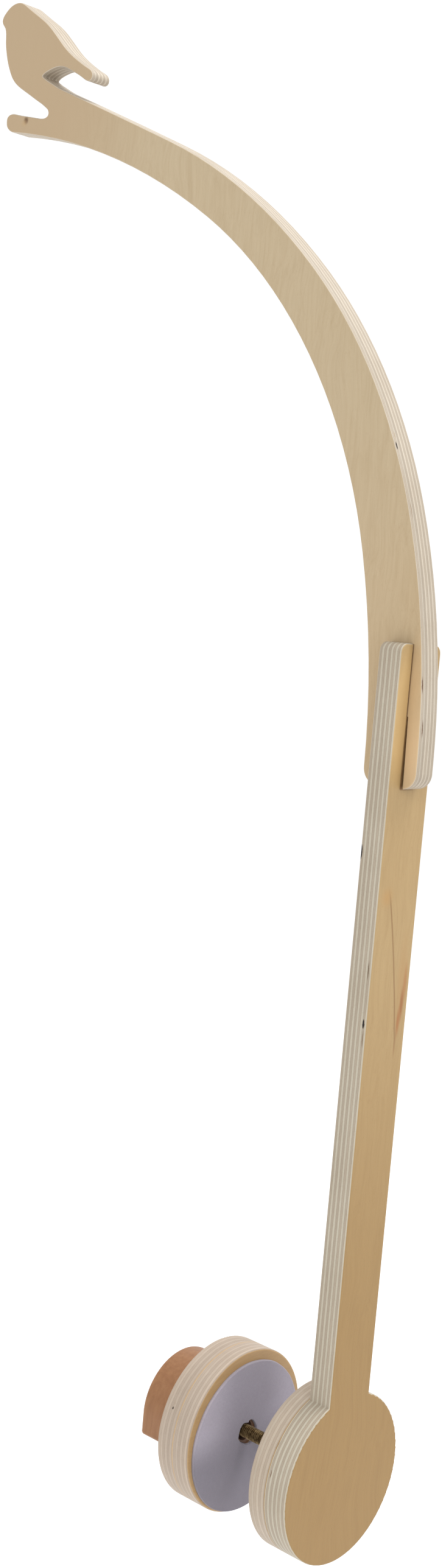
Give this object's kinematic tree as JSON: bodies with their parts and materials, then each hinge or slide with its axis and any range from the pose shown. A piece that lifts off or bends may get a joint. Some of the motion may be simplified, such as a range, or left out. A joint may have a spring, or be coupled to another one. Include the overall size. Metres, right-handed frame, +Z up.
{
  "type": "crib mobile arm",
  "caption": "Plywood crib mobile arm: a screw clamp, a straight arm and a curved arm ending in a bird-shaped hook, slotted together in a cross-lap joint.",
  "frame": {"origin": "centre of the fixed jaw's felt face, on the clamp screw's axis", "axes": "+X along the screw from the knob towards the fixed jaw, +Z up along the straight arm, +Y completes the frame; the curved arm leans out towards -X"},
  "size_m": [0.3887, 0.098, 0.8997],
  "materials": {
    "arm_ply": "satin",
    "arch_ply": "satin",
    "disc_ply": "satin",
    "knob_wood": "satin",
    "felt": "matt",
    "screw_steel": "dark bronze plated",
    "insert_zinc": "zinc plated"
  },
  "bodies": {
    "stand": {"lower_arm": "arm_ply", "backing_disc": "disc_ply", "clamp_insert": "insert_zinc", "fixed_pad": "felt"},
    "upper_arm": {"upper_arm": "arch_ply"},
    "screw_slide": {"thrust_washer": "insert_zinc"},
    "screw": {"threaded_rod": "screw_steel", "knob_insert": "insert_zinc", "knob": "knob_wood"},
    "jaw": {"jaw_front_disc": "disc_ply", "jaw_rear_disc": "disc_ply", "jaw_pad": "felt"}
  },
  "joints": [
    {"name": "upper_arm_lift", "type": "slide", "parent": "stand", "child": "upper_arm", "axis": [0, 0, 1], "range_m": [0, 0.042]},
    {"name": "screw_travel", "type": "slide", "parent": "stand", "child": "screw_slide", "axis": [1, 0, 0], "range_m": [-0.00902, 0.01452]},
    {"name": "screw_turn", "type": "hinge", "parent": "screw_slide", "child": "screw", "pos_m": [-0.085, 0, 0], "axis": [1, 0, 0], "range_deg": [-2592, 4176]},
    {"name": "jaw_slide", "type": "slide", "parent": "screw_slide", "child": "jaw", "axis": [1, 0, 0], "range_m": [0, 0.0285]}
  ],
  "couplings": [
    {"joint": "screw_travel", "follows": "screw_turn", "m_per_rad": 0.00019894}
  ]
}
